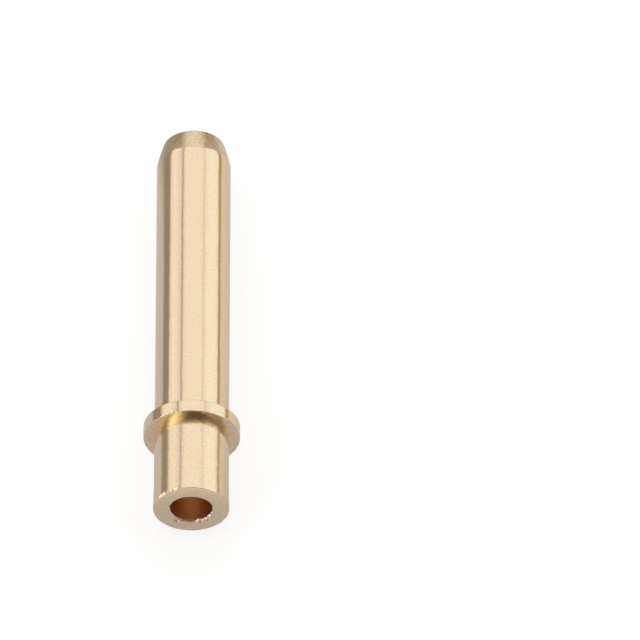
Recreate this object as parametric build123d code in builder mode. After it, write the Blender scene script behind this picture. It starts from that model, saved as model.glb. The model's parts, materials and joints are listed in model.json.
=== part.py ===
"""Pin contact of a circular power connector, turned from one piece of brass bar.

A solid pin with a tapered lead-in at one end, a thin collar that stops it in its
insulator, and a short barrel with a blind bore that takes the stripped wire.

The contact lies as it comes to rest on a table: on the pin-side rim of its collar
and on the shoulder where its taper begins. The table is Z = 0, the barrel points
towards -Y and is raised a little, and the tip points towards +Y.
"""
from build123d import *
from math import asin, atan2, cos, hypot, radians, sin, tan
import os

# Driving dimensions, in millimetres and degrees
pin_dia = 3.00
pin_length = 12.78
taper_length = 1.03
taper_end_dia = 2.46
taper_bulge = 0.015
nose_radius = 0.08

collar_dia = 3.90
collar_width = 0.59
collar_rim_radius = 0.03

barrel_dia = 3.02
barrel_length = 3.44
flare_length = 1.20
flare_rise = 0.025
barrel_rim_radius = 0.03

bore_dia = 1.70
bore_depth = 4.00
bore_mouth_break = 0.05
drill_point_angle = 118.0

# Stations along the contact's own axis, from the barrel's end face
collar_end = barrel_length + collar_width
shoulder = collar_end + pin_length
tip = shoulder + taper_length

pin_radius = pin_dia / 2
collar_radius = collar_dia / 2
barrel_radius = barrel_dia / 2
mouth_radius = barrel_radius + flare_rise
bore_radius = bore_dia / 2
bore_end = bore_depth + bore_radius / tan(radians(drill_point_angle / 2))

# The table touches the rounded collar rim and the shoulder, and so sets the lean
rim_station = collar_end - collar_rim_radius
rim_centre_radius = collar_radius - collar_rim_radius
span = shoulder - rim_station
drop = rim_centre_radius - pin_radius
lean = atan2(drop, span) + asin(collar_rim_radius / hypot(span, drop))

# The middle of the footprint is over the origin, and the shoulder is on the table
nose_face_radius = taper_end_dia / 2 - nose_radius
barrel_face_radius = mouth_radius - barrel_rim_radius
start_y = -(tip * cos(lean) + (nose_face_radius - barrel_face_radius) * sin(lean)) / 2
start_z = shoulder * sin(lean) + pin_radius * cos(lean)

# Plane of the half section: X runs along the contact to its tip, Y is the radius
section_plane = Plane(
    origin=(0, start_y, start_z),
    x_dir=(0, cos(lean), -sin(lean)),
    z_dir=(1, 0, 0),
)

with BuildPart() as pin_contact:
    with BuildSketch(section_plane) as half_section:
        with BuildLine():
            Polyline(
                (bore_end, 0),
                (bore_depth, bore_radius),
                (0, bore_radius),
                (0, mouth_radius),
                (flare_length, barrel_radius),
                (barrel_length, barrel_radius),
                (barrel_length, collar_radius),
                (collar_end, collar_radius),
                (collar_end, pin_radius),
                (shoulder, pin_radius),
            )
            SagittaArc((shoulder, pin_radius), (tip, taper_end_dia / 2), taper_bulge)
            Polyline((tip, taper_end_dia / 2), (tip, 0), (bore_end, 0))
        make_face()
        collar_rims = half_section.vertices().group_by(Axis.Y)[-1]
        fillet(collar_rims, collar_rim_radius)
        nose_rim = half_section.vertices().group_by(Axis.X)[-1].sort_by(Axis.Y)[-1]
        fillet(nose_rim, nose_radius)
        bore_mouth = half_section.vertices().group_by(Axis.X)[0].sort_by(Axis.Y)[0]
        chamfer(bore_mouth, bore_mouth_break)
        barrel_rim = half_section.vertices().group_by(Axis.X)[0].sort_by(Axis.Y)[-1]
        fillet(barrel_rim, barrel_rim_radius)
    revolve(axis=Axis(section_plane.origin, section_plane.x_dir))

pin_contact.part.label = "pin_contact"

os.makedirs("parts", exist_ok=True)
export_step(pin_contact.part, "parts/pin_contact.step")
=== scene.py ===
# %% [markdown]
# # A turned pin contact
#
# The real object is one piece of brass bar. A lathe turned a long plain pin, a thin collar
# and a short barrel, a drill opened the barrel for the wire, and a bath laid a few
# thousandths of a millimetre of gold over all of it. There is nothing to put together.
#
# The lesson starts from a CAD solid of the right size. Everything in Blender is then made
# in the same frame, in metres, so nothing has to be fitted afterwards.

# %% Load the frame
import bpy
import json
from math import atan2, cos, degrees, hypot, pi, radians, sin, tan
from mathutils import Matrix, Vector


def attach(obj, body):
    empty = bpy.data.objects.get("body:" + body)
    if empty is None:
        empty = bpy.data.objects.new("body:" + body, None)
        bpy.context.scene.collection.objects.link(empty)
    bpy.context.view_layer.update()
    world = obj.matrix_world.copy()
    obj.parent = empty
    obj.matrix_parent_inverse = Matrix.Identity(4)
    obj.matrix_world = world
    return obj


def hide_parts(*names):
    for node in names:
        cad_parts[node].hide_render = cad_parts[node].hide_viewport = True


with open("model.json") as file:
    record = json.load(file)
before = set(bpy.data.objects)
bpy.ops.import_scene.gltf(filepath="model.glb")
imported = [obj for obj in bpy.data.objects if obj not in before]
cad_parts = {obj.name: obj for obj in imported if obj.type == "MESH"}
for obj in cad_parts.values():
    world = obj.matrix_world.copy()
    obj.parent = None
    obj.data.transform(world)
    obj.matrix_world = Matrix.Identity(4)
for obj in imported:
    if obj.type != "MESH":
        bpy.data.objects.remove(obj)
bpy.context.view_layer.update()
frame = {"nodes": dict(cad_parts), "record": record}
mm = 0.001

# %% [markdown]
# ## Sizes
#
# The record's mounts say where the pin, the bore and the collar are, so those sizes are
# read from there. A place on a turned part is best given as a lathe operator gives it: how
# far along the axis, and how far out from it. The barrel's end face is station 0 here.

# %% Read the main sizes
mounts = {mount["name"]: mount for mount in frame["record"]["mounts"]}
axis = Vector(mounts["contact_pin"]["axis"]).normalized()
pin_radius = mounts["contact_pin"]["dims"]["r_mm"] * mm
pin_length = mounts["contact_pin"]["dims"]["length_mm"] * mm
bore_radius = mounts["wire_bore"]["dims"]["r_mm"] * mm
mouth_break = 0.05 * mm
bore_depth = mounts["wire_bore"]["dims"]["length_mm"] * mm + mouth_break
barrel_end = Vector(mounts["wire_bore"]["pos_m"]) - axis * (bore_depth + mouth_break) / 2


def station(place):
    """How far along the contact's axis a place lies, from the barrel's end face."""
    return (Vector(place) - barrel_end).dot(axis)


collar_back = station(mounts["collar_back"]["pos_m"])
collar_front = station(mounts["collar_front"]["pos_m"])
shoulder = collar_front + pin_length
solid = frame["nodes"]["pin_contact"].data
tip = max(station(vertex.co) for vertex in solid.vertices)
print("stations in mm:", [round(s / mm, 3) for s in (collar_back, collar_front, shoulder, tip)])

# %% [markdown]
# The mounts leave out what nothing mates with: the collar's rim, the outside of the barrel
# with its slight flare towards the mouth, the taper and the small roundings. Two sizes are
# finer than the CAD solid has them. A facing tool gives way a little under load, so the
# collar's back face and the barrel's end face fall off towards their rims, and polished
# faces show even that in their reflections.

# %% Set the other sizes
collar_radius = 1.95 * mm
barrel_radius = 1.51 * mm
flare_length = 1.20 * mm
flare_rise = 0.025 * mm
mouth_radius = barrel_radius + flare_rise
drill_cone = radians(59)
bore_end = bore_depth + bore_radius / tan(drill_cone)
taper_end_radius = 1.23 * mm
taper_bulge = 0.015 * mm
rim_rounding = 0.03 * mm
nose_rounding = 0.08 * mm
face_dome = 0.035 * mm
collar_rim = collar_back + face_dome
end_dome = 0.012 * mm
end_dome_width = 0.32 * mm
same_place = 0.001 * mm
print("collar's rim and bore's end in mm:", [round(s / mm, 3) for s in (collar_rim, bore_end)])

# %% [markdown]
# ## The camera
#
# The photograph was taken with a long lens from above and in front: parallel edges hardly
# meet, and the end face is seen at about 55 degrees from the contact's axis. A long focal
# length far away gives that flat perspective. The camera keeps the photograph's frame.

# %% Set the camera
view_elevation = radians(57.085)
view_turn = radians(0.171)
view_distance = 820.6 * mm
picture_pixels = 640
pixels_per_mm = 24.72
contact_to_middle = (5.153 * mm, 0.299 * mm)
sensor_width = 36

away = Vector((
    sin(view_turn) * cos(view_elevation),
    -cos(view_turn) * cos(view_elevation),
    sin(view_elevation),
))
look = away.to_track_quat("Z", "Y")
right, up = look @ Vector((1, 0, 0)), look @ Vector((0, 1, 0))
contact_middle = barrel_end + axis * tip / 2
aim = contact_middle + right * contact_to_middle[0] + up * contact_to_middle[1]

camera_data = bpy.data.cameras.new("camera")
camera = bpy.data.objects.new("camera", camera_data)
bpy.context.scene.collection.objects.link(camera)
camera.location = aim + away * view_distance
camera.rotation_mode = "QUATERNION"
camera.rotation_quaternion = look
camera_data.sensor_width = sensor_width
camera_data.lens = sensor_width * view_distance / (picture_pixels / pixels_per_mm * mm)
camera_data.clip_start, camera_data.clip_end = 0.05, 50
bpy.context.scene.camera = camera
bpy.context.scene.view_settings.view_transform = "Standard"
bpy.context.scene.cycles.max_bounces = 16
bpy.context.scene.cycles.glossy_bounces = 16    # light has to find its way out of the bore
print("lens in mm:", round(camera_data.lens))

# %% [markdown]
# ## Three helpers
#
# Colours are written as they look on a screen and have to be made linear. A material is a
# small network, and one function that adds a node with its settings and links keeps each
# network short enough to read at a glance.


# %% Helpers for colours and nodes
def linear(hex_colour):
    """An sRGB hex colour as the linear colour that Blender's sockets take."""
    channels = [int(hex_colour[i : i + 2], 16) / 255 for i in (1, 3, 5)]
    return [c / 12.92 if c <= 0.04045 else ((c + 0.055) / 1.055) ** 2.4 for c in channels] + [1]


def add(tree, kind, inputs=(), **settings):
    """Adds a node. Each input is a socket's name or number with a value or another output."""
    node = tree.nodes.new(kind)
    for name, value in settings.items():
        setattr(node, name, value)
    for name, value in dict(inputs).items():
        if isinstance(value, bpy.types.NodeSocket):
            tree.links.new(value, node.inputs[name])
        else:
            node.inputs[name].default_value = value
    return node


def new_material(name):
    """An empty material and its node tree."""
    material = bpy.data.materials.new(name)
    material.use_nodes = True
    material.node_tree.nodes.clear()
    return material, material.node_tree


print("a screen's middle grey made linear:", [round(c, 3) for c in linear("#808080")[:3]])

# %% [markdown]
# ## The section
#
# A turned part is its half section spun about an axis, so it is drawn the way a lathe cuts
# it: one point is pushed out along the section, straight run by straight run, and the
# corners are rounded afterwards. Boxes and cylinders joined with booleans would give the
# same outline, but a far worse mesh at every corner.
#
# A script can't click on a corner, so points are selected by where they are.


# %% Select points by their place
def deselect_all(mesh):
    """Deselects every point, edge and face of a mesh, in object mode."""
    for elements in (mesh.vertices, mesh.edges, mesh.polygons):
        elements.foreach_set("select", [False] * len(elements))


def select(condition):
    """Selects exactly the points that meet a condition on their place, and stays in edit mode."""
    bpy.ops.object.mode_set(mode="OBJECT")
    mesh = bpy.context.object.data
    deselect_all(mesh)
    chosen = 0
    for vertex in mesh.vertices:
        vertex.select = condition(vertex.co)
        chosen += vertex.select
    bpy.ops.object.mode_set(mode="EDIT")
    bpy.ops.mesh.select_mode(type="VERT")
    return chosen


# %% Start the section with one point on the axis
bpy.ops.object.select_all(action="DESELECT")
bpy.ops.mesh.primitive_plane_add(size=1 * mm, location=(0, 0, 0))
contact = bpy.context.object
contact.name = contact.data.name = "turned_contact"
bpy.ops.object.mode_set(mode="EDIT")
bpy.ops.mesh.select_all(action="SELECT")
bpy.ops.mesh.merge(type="CENTER")

# The axis is Y while the part is drawn, and the section lies in the YZ plane
pen = Vector((0, bore_end, 0))
bpy.ops.transform.translate(value=pen)
print("the section starts on the axis at station", round(pen.y / mm, 3))


def line_to(along, out):
    """Pushes the section's last point on to a station and a radius."""
    global pen
    target = Vector((0, along, out))
    bpy.ops.mesh.extrude_region_move(TRANSFORM_OT_translate={"value": target - pen})
    pen = target


# %% Draw the bore, the barrel and the back of the collar
line_to(bore_depth, bore_radius)
line_to(mouth_break, bore_radius)
line_to(0, bore_radius + mouth_break)
line_to(0, mouth_radius - end_dome_width)
end_dome_steps = 4
for step in range(1, end_dome_steps + 1):
    share = step / end_dome_steps
    line_to(end_dome * share**2, mouth_radius - end_dome_width * (1 - share))
line_to(flare_length, barrel_radius)
line_to(collar_back, barrel_radius)
face_dome_steps = 8
for step in range(1, face_dome_steps + 1):
    share = step / face_dome_steps
    line_to(collar_back + face_dome * share**2, barrel_radius + (collar_radius - barrel_radius) * share)
contact.update_from_editmode()
print("points up to the collar's rim:", len(contact.data.vertices))

# %% Draw the front of the collar, the pin and its taper
line_to(collar_front, collar_radius)
line_to(collar_front, pin_radius)
line_to(shoulder, pin_radius)
taper_steps = 12
for step in range(1, taper_steps + 1):
    share = step / taper_steps
    straight = pin_radius + (taper_end_radius - pin_radius) * share
    line_to(shoulder + (tip - shoulder) * share, straight + 4 * taper_bulge * share * (1 - share))
line_to(tip, 0)
print("the section ends at station", round(pen.y / mm, 3))

# %% [markdown]
# No corner of a turned part is perfectly sharp, and a rounded one is what glints. Four
# corners were broken by the tool or by tumbling. A bevel on a single point rounds a section
# just as it rounds an edge of a solid.


# %% Round four corners
def near(place, along, out):
    """Whether a place is the section's corner at that station and radius."""
    return hypot(place.y - along, hypot(place.x, place.z) - out) < same_place


# The tip's corner is blunt, so a rounding there starts nearer to it than its own radius
nose_offset = 0.8 * nose_rounding
corners = (
    (end_dome, mouth_radius, rim_rounding),
    (collar_rim, collar_radius, rim_rounding),
    (collar_front, collar_radius, rim_rounding),
    (tip, taper_end_radius, nose_offset),
)
for along, out, rounding in corners:
    found = select(lambda place: near(place, along, out))
    bpy.ops.mesh.bevel(offset=rounding, segments=5, affect="VERTICES")
    print("rounded", found, "corner at", round(along / mm, 2))

# %% [markdown]
# Long runs get rings, so that the spun faces are near square and later burrs and dents
# have points to move. Halving every long edge again and again is the simplest way. The
# barrel's mouth, the collar and the tip carry marks, so their rings lie closer together.

# %% Divide the long runs
fine_gap, coarse_gap = 0.055 * mm, 0.25 * mm
marked_length = 0.3 * mm


def ring_gap(along):
    """The widest gap between two rings at a station."""
    at_mouth = along < marked_length
    at_collar = collar_back - rim_rounding < along < collar_front + rim_rounding
    at_tip = along > tip - marked_length
    return fine_gap if at_mouth or at_collar or at_tip else coarse_gap


while True:
    bpy.ops.object.mode_set(mode="OBJECT")
    mesh = contact.data
    too_long = []
    for edge in mesh.edges:
        one, other = (mesh.vertices[i].co for i in edge.vertices)
        if (one - other).length > ring_gap((one.y + other.y) / 2):
            too_long.append(edge.index)
    deselect_all(mesh)
    for index in too_long:
        mesh.edges[index].select = True
    bpy.ops.object.mode_set(mode="EDIT")
    if not too_long:
        break
    bpy.ops.mesh.select_mode(type="EDGE")
    bpy.ops.mesh.subdivide(number_cuts=1)
print("rings:", len(contact.data.vertices))

# %% [markdown]
# ## Spinning it
#
# Spin is Blender's lathe. A circle would look round with far fewer steps, but with 360 the
# points on the rims lie 0.03 mm apart, and ragged rims need them that close. The seam and
# the two poles are merged, and the normals are made to point outwards, because a spin may
# leave them pointing in.

# %% Spin the section
steps_around = 360
bpy.ops.mesh.select_mode(type="VERT")
bpy.ops.mesh.select_all(action="SELECT")
bpy.ops.mesh.spin(steps=steps_around, angle=2 * pi, center=(0, 0, 0), axis=(0, 1, 0))
bpy.ops.mesh.select_all(action="SELECT")
bpy.ops.mesh.remove_doubles(threshold=0.5 * same_place)
bpy.ops.mesh.normals_make_consistent(inside=False)
bpy.ops.object.mode_set(mode="OBJECT")
print("faces:", len(contact.data.polygons), "triangles:", len(contact.data.loop_triangles))

# %% [markdown]
# ## Knocks, burrs and nicks
#
# A turned rim is never quite clean. The cutting tool leaves a ragged thread of metal where
# it runs out, and contacts that are tipped into a box by the thousand knock small flats on
# each other's rims. The marks are small, but they are what catches the light, so they are
# real shapes here. A flat is a stretch of rim scaled to nothing across a plane, a ragged
# rim is a Displace modifier on a painted group, and a nick or a crumb is one point moved
# with proportional editing.


# %% Find places round the axis
def clock(place):
    """The angle of a place round the axis, in degrees from the top, seen from the barrel's end."""
    return degrees(atan2(place.x, place.z))


def out_of(place):
    """How far out from the axis a place lies."""
    return hypot(place.x, place.z)


def at_clock(along, out, angle):
    """The place at a station, a radius and a clock angle."""
    return Vector((out * sin(radians(angle)), along, out * cos(radians(angle))))


rim_at_right = at_clock(collar_rim, collar_radius, 90)
print("the collar's rim at 90 degrees, in mm:", [round(c / mm, 2) for c in rim_at_right])


# %% Knock flats on the rims
def knock(along, out, first, last, depth, facing):
    """Presses a rim between two clock angles flat, down to a plane under its corner."""
    facing = Vector(facing).normalized()
    plane_place = at_clock(along, out, (first + last) / 2) - facing * depth
    chosen = select(lambda place: (
        abs(place.y - along) < marked_length and first < clock(place) < last
        and (place - plane_place).dot(facing) > 0
    ))
    side = facing.cross(Vector((0, 0, 1))).normalized()
    bpy.ops.transform.resize(
        value=(1, 1, 0), orient_type="GLOBAL", orient_matrix=(side, facing.cross(side), facing),
        orient_matrix_type="GLOBAL", constraint_axis=(False, False, True), center_override=plane_place,
    )
    bpy.ops.object.mode_set(mode="OBJECT")
    moved = [vertex.co for vertex in contact.data.vertices if vertex.select]
    uneven = max(abs((place - plane_place).dot(facing)) for place in moved)
    print("flat of", chosen, "points, uneven by", round(uneven / mm, 5), "mm")


# Each flat: station, radius, first and last clock angle, depth under the corner, facing
knock(0, mouth_radius, -61, -52.5, 0.046 * mm, (-0.43, -0.62, 0.66))
knock(0, mouth_radius, -53, -44.5, 0.056 * mm, (-0.42, -0.62, 0.66))
knock(0, mouth_radius, -34.5, -30, 0.046 * mm, (-0.37, -0.61, 0.70))
knock(0, mouth_radius, -28, -21.5, 0.050 * mm, (-0.35, -0.61, 0.71))
knock(collar_rim, collar_radius, -27, -16, 0.028 * mm, (-0.35, -0.62, 0.70))


# %% Paint a group on a stretch of rim
def fade(value, low, high, soft):
    """1 between two limits, falling to 0 over a soft margin outside them."""
    return max(0.0, min(1.0, (value - low) / soft + 1, (high - value) / soft + 1))


soft_degrees = 4


def paint(name, along, out, first, last, reach):
    """A vertex group round a rim, between two clock angles, within a reach of the corner."""
    group = contact.vertex_groups.new(name=name)
    for vertex in contact.data.vertices:
        if abs(vertex.co.y - along) < reach:
            away_from_rim = hypot(vertex.co.y - along, out_of(vertex.co) - out)
            weight = fade(away_from_rim, 0, reach / 2, reach / 2)
            weight *= fade(clock(vertex.co), first, last, soft_degrees)
            if weight > 0:
                group.add([vertex.index], weight, "REPLACE")


def apply_on_group(modifier):
    """Applies a modifier that works on the group of its own name, and deletes the group."""
    name = modifier.vertex_group = modifier.name
    bpy.ops.object.modifier_apply(modifier=name)
    contact.vertex_groups.remove(contact.vertex_groups[name])


# %% Make the rims ragged
bore_mouth = (mouth_break / 2, bore_radius + mouth_break / 2)
# Each stretch: name, station, radius, first and last clock angle, reach and height
burrs = (
    ("rim_burr_left", 0, mouth_radius, -61, -44, 0.12 * mm, 0.014 * mm),
    ("rim_burr_top", 0, mouth_radius, -34, -20, 0.08 * mm, 0.020 * mm),
    ("rim_roughness", 0, mouth_radius, -180, 180, 0.05 * mm, 0.02 * mm),
    ("bore_mouth_burr", *bore_mouth, 108, 165, 0.10 * mm, 0.10 * mm),
    ("bore_mouth_roughness", mouth_break / 2, bore_radius, -180, 180, 0.06 * mm, 0.02 * mm),
    ("collar_burr", collar_rim, collar_radius, -29, -12, 0.06 * mm, 0.05 * mm),
    ("collar_roughness", collar_rim, collar_radius, -180, 180, 0.05 * mm, 0.03 * mm),
)
ragged = bpy.data.textures.new("ragged_metal", "CLOUDS")
ragged.noise_scale = 0.13 * mm
ragged.noise_depth = 2
for name, along, out, first, last, reach, height in burrs:
    paint(name, along, out, first, last, reach)
    burr = contact.modifiers.new(name, "DISPLACE")
    burr.texture = ragged
    burr.texture_coords = "LOCAL"
    burr.mid_level = 0.45    # a little more metal stands out than is missing
    burr.strength = height
    apply_on_group(burr)
print("ragged stretches:", len(burrs))


# %% Push in the nicks and raise the crumbs
def nick(along, out, angle, size, push):
    """Moves the nearest point by a vector, and its neighbours within a size with it."""
    place = at_clock(along, out, angle)
    bpy.ops.object.mode_set(mode="OBJECT")
    nearest = min(contact.data.vertices, key=lambda vertex: (vertex.co - place).length)
    target = nearest.co.copy()
    select(lambda corner: (corner - target).length < same_place)
    bpy.ops.transform.translate(
        value=push, use_proportional_edit=True, use_proportional_connected=True,
        proportional_edit_falloff="SMOOTH", proportional_size=size,
    )
    bpy.ops.object.mode_set(mode="OBJECT")
    moved = max((vertex.co - target).length for vertex in contact.data.vertices if vertex.select)
    print("nick at station", round(along / mm, 2), "and", angle, "degrees, moved by", round(moved / mm, 3))


# Nicks in the end face, at the edge of the bore and in the collar's rim
nick(0, 1.03 * mm, -146, 0.10 * mm, (0, 0.10 * mm, 0))
nick(0, 1.06 * mm, -141, 0.08 * mm, (0, 0.08 * mm, 0))
nick(0, bore_radius + mouth_break, -126, 0.09 * mm, (-0.02 * mm, 0.05 * mm, -0.02 * mm))
nick(collar_back, collar_radius - rim_rounding, 15, 0.07 * mm, (-0.01 * mm, 0.03 * mm, -0.02 * mm))
# Crumbs of metal that the drill left at the mouth of the bore
nick(0, 0.95 * mm, 124, 0.11 * mm, (0, -0.10 * mm, 0))
nick(0, 0.97 * mm, 139, 0.09 * mm, (0, -0.08 * mm, 0))
nick(0, 0.94 * mm, 159, 0.08 * mm, (0, -0.045 * mm, 0))

# %% [markdown]
# ## Gold plate
#
# The plate is gold with a little cobalt, which is what contacts are plated with: hard and
# slightly paler than pure gold. It is far too thin to hide what the tools left in the
# brass, so the finish changes with the cut: the pin is burnished, the taper was cut with a
# quick rough pass, the faces carry rings from the facing tool, and the bore was drilled.
# A small crescent on the tip's rim has a darker, greyer finish. One function makes all of
# them. A metal's base colour is its mirror colour, and its IOR stays at the default.
#
# Tool marks run round the axis on every turned surface. So they are a noise of two numbers
# only, the station and the radius: that gives rings along a cylinder and circles on a face.

# %% The gold plate
lean = atan2(-axis.z, axis.y)


def gold_plate(name, colour, dull_colour, roughness, mark_gap, mark_height, reliefs):
    """Gold over turned brass, with tool marks round the axis and uneven reliefs in all directions."""
    material, tree = new_material(name)
    place = add(tree, "ShaderNodeTexCoord").outputs["Object"]
    lathe = add(tree, "ShaderNodeMapping", {
        "Vector": place, "Location": barrel_end, "Rotation": (-lean, 0, 0),
    }, vector_type="TEXTURE").outputs["Vector"]
    along = add(tree, "ShaderNodeSeparateXYZ", {"Vector": lathe}).outputs["Y"]
    crosswise = add(tree, "ShaderNodeVectorMath", {0: lathe, 1: (1, 0, 1)}, operation="MULTIPLY")
    out = add(tree, "ShaderNodeVectorMath", {0: crosswise.outputs[0]}, operation="LENGTH").outputs["Value"]
    station_and_radius = add(tree, "ShaderNodeCombineXYZ", {"X": along, "Y": out}).outputs["Vector"]
    marks = add(tree, "ShaderNodeTexNoise", {
        "Vector": station_and_radius, "Scale": 1 / mark_gap, "Detail": 2.0,
    }, noise_dimensions="2D")
    relief = add(tree, "ShaderNodeBump", {"Height": marks.outputs["Fac"], "Distance": mark_height})
    for size, height in reliefs:
        noise = add(tree, "ShaderNodeTexNoise", {"Vector": lathe, "Scale": 1 / size, "Detail": 2.0})
        relief = add(tree, "ShaderNodeBump", {
            "Height": noise.outputs["Fac"], "Distance": height, "Normal": relief.outputs["Normal"],
        })
    # The last relief is the finest, and where it stands high the plate is a little duller
    dullness = add(tree, "ShaderNodeMapRange", {
        "Value": noise.outputs["Fac"], "From Min": 0.35, "From Max": 0.65,
    })
    tint = add(tree, "ShaderNodeMix", {
        "Factor": dullness.outputs["Result"], "A": linear(colour), "B": linear(dull_colour),
    }, data_type="RGBA")
    shader = add(tree, "ShaderNodeBsdfPrincipled", {
        "Base Color": tint.outputs["Result"], "Metallic": 1.0, "Roughness": roughness,
        "Normal": relief.outputs["Normal"],
    })
    add(tree, "ShaderNodeOutputMaterial", {"Surface": shader.outputs["BSDF"]})
    return material


# %% [markdown]
# Real tool marks and plating grain are at most a few hundredths of a millimetre apart. That
# is a pixel of the picture or less, so both are drawn coarser, at 0.08 mm and more. Each
# relief is the size of its bumps and their height, from long waves down to the grain.

# %% Six finishes of the plate
grain = 0.10 * mm
finishes = {
    # Pressed smooth by a roller, so the stripes of the studio stay sharp with a slight waver
    "burnished": gold_plate(
        "burnished_gold_plate", "#F9E3BE", "#F6DDB7", roughness=0.14, mark_gap=0.30 * mm,
        mark_height=0.0010 * mm, reliefs=((1.3 * mm, 0.013 * mm), (grain, 0.0012 * mm)),
    ),
    # Left as a sharp tool cut it, so it sparkles faintly and blurs the stripes a little more
    "turned": gold_plate(
        "turned_gold_plate", "#FAE4C0", "#F4DBB4", roughness=0.17, mark_gap=0.16 * mm,
        mark_height=0.0008 * mm, reliefs=((0.9 * mm, 0.012 * mm), (grain, 0.0015 * mm)),
    ),
    # A quick pass with a blunt form tool, which leaves a frosted, mottled lead-in
    "rough_turned": gold_plate(
        "rough_turned_gold_plate", "#F7E3C6", "#E4CCA5", roughness=0.27, mark_gap=0.14 * mm,
        mark_height=0.0012 * mm, reliefs=((grain, 0.0032 * mm),),
    ),
    # Circles from a facing tool, too fine to see one by one, make the flat faces satin
    "faced": gold_plate(
        "faced_gold_plate", "#F8E1BF", "#EDD3AF", roughness=0.24, mark_gap=0.08 * mm,
        mark_height=0.0012 * mm, reliefs=((0.7 * mm, 0.010 * mm), (grain, 0.0022 * mm)),
    ),
    # A crescent on the rim of the tip is dark grey and a little rougher than the taper
    "dark_crescent": gold_plate(
        "dark_crescent_gold_plate", "#A89A94", "#8E7E7A", roughness=0.30, mark_gap=0.14 * mm,
        mark_height=0.0012 * mm, reliefs=((grain, 0.0032 * mm),),
    ),
    # Rings and scores from the drill, where light bounces many times and turns deep orange.
    # Its colour is paler than the plate outside: painted light that brightens the deep bore
    "drilled_and_lightened": gold_plate(
        "drilled_and_lightened_gold_plate", "#FBE8D2", "#F3DCC2", roughness=0.24, mark_gap=0.10 * mm,
        mark_height=0.006 * mm, reliefs=((0.16 * mm, 0.011 * mm),),
    ),
}
for material in finishes.values():
    contact.data.materials.append(material)
print("finishes:", list(finishes))

# %% [markdown]
# Each face gets the finish of the cut that made it. Which cut that was follows from its
# station and its radius, so the faces are sorted by a few comparisons, and each group is
# selected and assigned to its slot, as by hand.

# %% Tell which cut made a face
fleck_clock, fleck_half_width, fleck_size = 24.5, 6, 0.13 * mm


def in_fleck(centre):
    """Whether a face is in the dark crescent on the tip's rim."""
    aside = (clock(centre) - fleck_clock) / fleck_half_width
    on_the_rim = out_of(centre) > taper_end_radius - nose_rounding
    return on_the_rim and centre.y > tip - fleck_size * (1 - aside**2)


def is_faced(along, out):
    """Whether a place is on the barrel's end face or on either face of the collar."""
    if along < end_dome + rim_rounding / 4:
        return out < barrel_radius
    if abs(along - collar_back) < face_dome and out > barrel_radius:
        return out < collar_radius - rim_rounding / 2
    return along > collar_front - rim_rounding / 2 and out > pin_radius + rim_rounding / 2


def finish_of(centre):
    """Which finish the face at a place in the lathe's frame has."""
    along, out = centre.y, out_of(centre)
    if out < bore_radius + mouth_break and along < bore_end:
        return "drilled_and_lightened"
    if along > shoulder:
        return "dark_crescent" if in_fleck(centre) else "rough_turned"
    if is_faced(along, out):
        return "faced"
    return "turned" if along < collar_back else "burnished"


# %% Give each face its finish
bpy.ops.object.mode_set(mode="EDIT")
bpy.ops.mesh.select_mode(type="FACE")
for number, finish in enumerate(finishes):
    bpy.ops.object.mode_set(mode="OBJECT")
    deselect_all(contact.data)
    for face in contact.data.polygons:
        face.select = finish_of(face.center) == finish
    chosen = sum(face.select for face in contact.data.polygons)
    bpy.ops.object.mode_set(mode="EDIT")
    contact.active_material_index = number
    bpy.ops.object.material_slot_assign()
    print(finish, "faces:", chosen)
bpy.ops.object.mode_set(mode="OBJECT")

# %% [markdown]
# ## Laying it on the table
#
# The spun part still lies along Y through the origin. It is leaned and moved to where the
# CAD solid lies, on its collar and its shoulder, and the move is applied, so that the
# place is in the mesh and the object itself stays at the origin.

# %% Put the contact in its place
contact.rotation_euler = (-lean, 0, 0)
contact.location = barrel_end
bpy.ops.object.transform_apply(location=True, rotation=True, scale=True)
bpy.ops.object.shade_smooth_by_angle(angle=radians(30))
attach(contact, "root")
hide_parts("pin_contact")
print("lean in degrees:", round(degrees(lean), 3))

# %% [markdown]
# ## The table
#
# The table is a plain pale sheet. The light that reaches the camera from it is topped up
# to white in the material, so the background is white and the contact's soft shadow stays.
#
# The metal mirrors the sheet along its whole underside. An even glow would be simpler, but
# it would leave that side one flat tone. So what the metal sees of it is painted into the
# sheet's glow, which only reflections get: painted light, cool on the left, warmer on the
# right and pale a little way before the barrel, and painted shade in front on the right and
# past the tip. The patches belong to the sheet, so they hold from every side.

# %% Lay the sheet
bpy.ops.object.select_all(action="DESELECT")
bpy.ops.mesh.primitive_plane_add(size=4, location=(0, 0, 0))
table = bpy.context.object
table.name = "table"
paper, tree = new_material("pale_paper")
table.data.materials.append(paper)
place = add(tree, "ShaderNodeTexCoord").outputs["Object"]
sides = add(tree, "ShaderNodeSeparateXYZ", {"Vector": place}).outputs
print("the sheet's sides in m:", [round(side, 2) for side in table.dimensions[:2]])

# %% Paint light on it beside the contact and before the barrel
# Painted light on the sheet beside the contact: cool on the left, warmer on the right
to_the_right = add(tree, "ShaderNodeMapRange", {
    "Value": sides["X"], "From Min": -8 * mm, "From Max": 8 * mm,
})
beside = add(tree, "ShaderNodeMix", {
    "Factor": to_the_right.outputs["Result"], "A": linear("#8B8B9B"), "B": linear("#AFA8A6"),
}, data_type="RGBA")
# Painted light before the barrel, paler further ahead, and on the front left corner
further_ahead = add(tree, "ShaderNodeMapRange", {
    "Value": sides["Y"], "From Min": -11.0 * mm, "From Max": -12.8 * mm,
})
before_the_barrel = add(tree, "ShaderNodeMix", {
    "Factor": further_ahead.outputs["Result"], "A": linear("#898999"), "B": linear("#BFB6B1"),
}, data_type="RGBA")
to_the_left = add(tree, "ShaderNodeMapRange", {
    "Value": sides["X"], "From Min": -3 * mm, "From Max": -8 * mm,
})
with_left_corner = add(tree, "ShaderNodeMix", {
    "Factor": to_the_left.outputs["Result"], "A": before_the_barrel.outputs["Result"],
    "B": linear("#ADA6AA"),
}, data_type="RGBA")
print("nodes so far:", len(tree.nodes))
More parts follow.
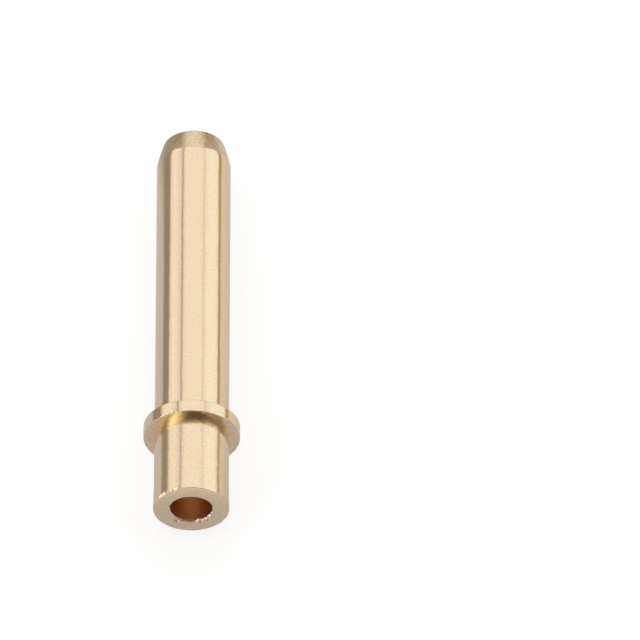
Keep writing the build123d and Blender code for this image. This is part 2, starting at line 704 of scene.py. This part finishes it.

# %% Paint shade on it in front on the right and past the tip
# Painted shade on the sheet in front on the right
front_right = add(tree, "ShaderNodeMapRange", {
    "Value": sides["X"], "From Min": 3 * mm, "From Max": 8 * mm,
})
in_front = add(tree, "ShaderNodeMix", {
    "Factor": front_right.outputs["Result"], "A": with_left_corner.outputs["Result"],
    "B": linear("#272730"),
}, data_type="RGBA")
to_the_back = add(tree, "ShaderNodeMapRange", {
    "Value": sides["Y"], "From Min": -11 * mm, "From Max": -1 * mm,
})
front_and_sides = add(tree, "ShaderNodeMix", {
    "Factor": to_the_back.outputs["Result"], "A": in_front.outputs["Result"],
    "B": beside.outputs["Result"],
}, data_type="RGBA")
# The painted shade past the tip has a slanting edge, nearer to the contact on the left
slant = add(tree, "ShaderNodeMapRange", {
    "Value": sides["X"], "From Min": -2 * mm, "From Max": 8 * mm, "To Min": 1.6 * mm, "To Max": -6.4 * mm,
})
slanting = add(tree, "ShaderNodeMath", {0: sides["Y"], 1: slant.outputs["Result"]}, operation="ADD")
past_the_tip = add(tree, "ShaderNodeMapRange", {
    "Value": slanting.outputs[0], "From Min": 9.7 * mm, "From Max": 13.7 * mm,
})
# What the metal sees of the sheet: its painted light and painted shade
in_the_metal = add(tree, "ShaderNodeMix", {
    "Factor": past_the_tip.outputs["Result"], "A": front_and_sides.outputs["Result"],
    "B": linear("#453F3F"),
}, data_type="RGBA")
print("nodes so far:", len(tree.nodes))

# %% Show it white to the camera
rays = add(tree, "ShaderNodeLightPath").outputs
# Reflections see the painted light and shade, the camera an even white
glow = add(tree, "ShaderNodeMix", {
    "Factor": rays["Is Camera Ray"], "A": in_the_metal.outputs["Result"], "B": linear("#DFDFDF"),
}, data_type="RGBA")
seen_in_metal = add(tree, "ShaderNodeMath", {
    0: rays["Is Glossy Ray"], 1: rays["Is Transmission Ray"],
}, operation="ADD")
seen = add(tree, "ShaderNodeMath", {
    0: seen_in_metal.outputs[0], 1: rays["Is Camera Ray"],
}, operation="ADD")
sheet = add(tree, "ShaderNodeBsdfPrincipled", {
    "Base Color": linear("#A9A9A9"), "Roughness": 0.9, "Specular IOR Level": 0.0,
    "Emission Color": glow.outputs["Result"], "Emission Strength": seen.outputs[0],
})
add(tree, "ShaderNodeOutputMaterial", {"Surface": sheet.outputs["BSDF"]})
print("nodes in the table's material:", len(tree.nodes))

# %% [markdown]
# ## The studio
#
# Polished metal shows its surroundings more than its own colour, so the lights are what
# draws it. Long softboxes parallel to the contact give the long even stripes that turned
# metal has in a catalogue picture: one overhead and one on each side, with narrow dark
# gaps between them, and one behind for the taper. They are panels of lit cloth, a little
# darker towards the edges, because a lamp behind cloth lights its middle most.


# %% Light the cloth of a panel
def lit_cloth(name, colour, brightness, levels):
    """Glowing cloth with its levels across as pairs of (share of the width, level)."""
    cloth, tree = new_material(name)
    place = add(tree, "ShaderNodeTexCoord").outputs["Object"]
    from_middle = add(tree, "ShaderNodeSeparateXYZ", {"Vector": place}).outputs["X"]
    share = add(tree, "ShaderNodeMath", {0: from_middle, 1: 0.5}, operation="ADD").outputs[0]
    ramp = add(tree, "ShaderNodeValToRGB", {"Fac": share})
    ramp.color_ramp.interpolation = "EASE"
    stops = ramp.color_ramp.elements
    while len(stops) < len(levels):
        stops.new(0.5)
    for stop, (position, level) in zip(stops, levels):
        stop.position = position
        stop.color = (level, level, level, 1)
    light = add(tree, "ShaderNodeMix", {
        "Factor": 1.0, "A": ramp.outputs["Color"], "B": linear(colour),
    }, data_type="RGBA", blend_type="MULTIPLY")
    glow = add(tree, "ShaderNodeEmission", {"Color": light.outputs["Result"], "Strength": brightness})
    add(tree, "ShaderNodeOutputMaterial", {"Surface": glow.outputs["Emission"]})
    return cloth


# %% Hang the long softboxes
panel_distance = 150 * mm


def softbox(name, from_angle, to_angle, span, cloth):
    """A panel along the contact, between two angles from straight up, hidden from the camera."""
    middle = radians((from_angle + to_angle) / 2)
    half_angle = radians((to_angle - from_angle) / 2)
    bpy.ops.object.select_all(action="DESELECT")
    bpy.ops.mesh.primitive_plane_add(size=1)
    panel = bpy.context.object
    panel.name = name
    panel.scale = (2 * panel_distance * tan(half_angle), span[1] - span[0], 1)
    panel.rotation_euler = (0, middle, 0)
    panel.location = (
        panel_distance * sin(middle), sum(span) / 2, pin_radius + panel_distance * cos(middle),
    )
    panel.data.materials.append(cloth)
    panel.visible_camera = False
    panel.visible_shadow = False
    print(name, "is", [round(side / mm) for side in panel.scale[:2]], "mm")
    return panel


softbox("overhead_softbox", -32.2, 33.3, (-60 * mm, 240 * mm), lit_cloth(
    "overhead_softbox", "#FFFFFF", 1.0, ((0.0, 0.80), (0.12, 0.93), (0.3, 0.95), (0.85, 0.95), (1.0, 0.91)),
))
softbox("left_softbox", -78.2, -36.2, (-60 * mm, 200 * mm), lit_cloth(
    "left_softbox", "#FCFCFF", 1.03, ((0.0, 0.82), (0.3, 0.95), (0.5, 0.96), (0.75, 0.88), (1.0, 0.76)),
))
softbox("right_softbox", 34.3, 87.2, (-80 * mm, 200 * mm), lit_cloth(
    "right_softbox", "#F9FCFF", 1.055, ((0.0, 0.86), (0.3, 0.99), (0.6, 1.0), (0.9, 0.97), (1.0, 0.95)),
))
behind = softbox("back_softbox", -39.8, 39.8, (0, 240 * mm), lit_cloth(
    "back_softbox", "#F3F1ED", 1.0, ((0.0, 0.85), (0.15, 0.95), (0.5, 1.0), (0.85, 0.95), (1.0, 0.85)),
))
behind.rotation_euler = (radians(90), 0, 0)
behind.location = (0, 310 * mm, 170 * mm)

# %% [markdown]
# The left panel's lamp hangs near its front end, so that end is the brightest. Only the
# corner between collar and barrel, the rounded rims and the burrs are turned towards it.

# %% Hang the bright front end of the left softbox
bright_levels = (
    (0.0, 0.20), (0.12, 0.56), (0.28, 0.98), (0.42, 0.92), (0.58, 0.60), (0.78, 0.32), (1.0, 0.10),
)
softbox("front_left_softbox", -78.2, -18.0, (-200 * mm, -60 * mm), lit_cloth(
    "front_left_softbox", "#FCFFF2", 1.85, bright_levels,
))

# %% [markdown]
# ## The room
#
# Between the panels the metal sees the room, whose unlit walls are dim and warm. The side
# in front, above and a little to the right is the darkest, because nothing there is lit.
# The collar's back face is turned that way, so a dark crescent lies on it round the barrel.
# Straight ahead and low the wall is paler. One even grey would be simpler, but it would
# leave that face without its gradient. The camera itself sees a white backdrop.

# %% Paint the walls of the room
world = bpy.data.worlds.new("studio")
bpy.context.scene.world = world
world.use_nodes = True
tree = world.node_tree
tree.nodes.clear()
direction = add(tree, "ShaderNodeTexCoord").outputs["Generated"]
dark_side = Vector((0.332, -0.512, 0.792)).normalized()
towards_dark = add(tree, "ShaderNodeVectorMath", {0: direction, 1: dark_side}, operation="DOT_PRODUCT")
# The walls begin to darken 60 degrees from that side, and are darkest within 35 degrees
level = add(tree, "ShaderNodeMapRange", {
    "Value": towards_dark.outputs["Value"],
    "From Min": cos(radians(60)), "From Max": cos(radians(35)), "To Min": 1.0, "To Max": 0.25,
})
wall = add(tree, "ShaderNodeMix", {
    "Factor": level.outputs["Result"], "A": (0, 0, 0, 1), "B": linear("#9E8B7C"),
}, data_type="RGBA")
print("the dark side is", round(degrees(dark_side.angle((0, 0, 1)))), "degrees from straight up")

# %% Make the wall ahead paler and the backdrop white
towards = add(tree, "ShaderNodeSeparateXYZ", {"Vector": direction}).outputs
ahead = add(tree, "ShaderNodeMapRange", {"Value": towards["Y"], "From Min": -0.60, "From Max": -0.72})
low_down = add(tree, "ShaderNodeMapRange", {"Value": towards["Z"], "From Min": 0.58, "From Max": 0.30})
ahead_and_low = add(tree, "ShaderNodeMath", {
    0: ahead.outputs["Result"], 1: low_down.outputs["Result"],
}, operation="MULTIPLY")
wall_ahead = add(tree, "ShaderNodeMix", {
    "Factor": ahead_and_low.outputs[0], "A": wall.outputs["Result"], "B": linear("#BCB5AD"),
}, data_type="RGBA")
backdrop = add(tree, "ShaderNodeMix", {
    "Factor": add(tree, "ShaderNodeLightPath").outputs["Is Camera Ray"],
    "A": wall_ahead.outputs["Result"], "B": linear("#FFFFFF"),
}, data_type="RGBA")
room = add(tree, "ShaderNodeBackground", {"Color": backdrop.outputs["Result"], "Strength": 1.0})
add(tree, "ShaderNodeOutputWorld", {"Surface": room.outputs["Background"]})
print("nodes in the room's material:", len(tree.nodes))

# %% [markdown]
# ## Two cards
#
# Two cards close to the contact finish the reflections. They glow with a fixed colour and
# light nothing, so they are painted reflections: a dark one on the left draws the dark line
# along its edge, and a gold one on the right a warm line. Only reflections see them, so
# they throw no shadow on the table.


# %% Stand the two cards
def card(name, aside, height, span, colour):
    """A long low card beside the contact that only reflections see, glowing as a painted reflection."""
    material, tree = new_material(name)
    # The card glows with its colour whatever the lamps do, a painted reflection
    glow = add(tree, "ShaderNodeEmission", {"Color": linear(colour), "Strength": 1.0})
    add(tree, "ShaderNodeOutputMaterial", {"Surface": glow.outputs["Emission"]})
    bpy.ops.object.select_all(action="DESELECT")
    bpy.ops.mesh.primitive_plane_add(size=1)
    board = bpy.context.object
    board.name = name
    board.scale = (height, span[1] - span[0], 1)
    board.rotation_euler = (0, radians(90), 0)
    board.location = (aside, sum(span) / 2, height / 2)
    board.data.materials.append(material)
    board.visible_camera = False
    board.visible_shadow = False
    board.visible_diffuse = False
    board.visible_transmission = False
    print(name, "stands", round(aside / mm, 1), "mm from the middle")


# Painted reflections: a dark line on the left, a warm line on the right
card("dark_card", -11.5 * mm, 4.0 * mm, (-13 * mm, 60 * mm), "#968E8C")
card("gold_card", 21 * mm, 4.0 * mm, (-8 * mm, 60 * mm), "#B59C74")
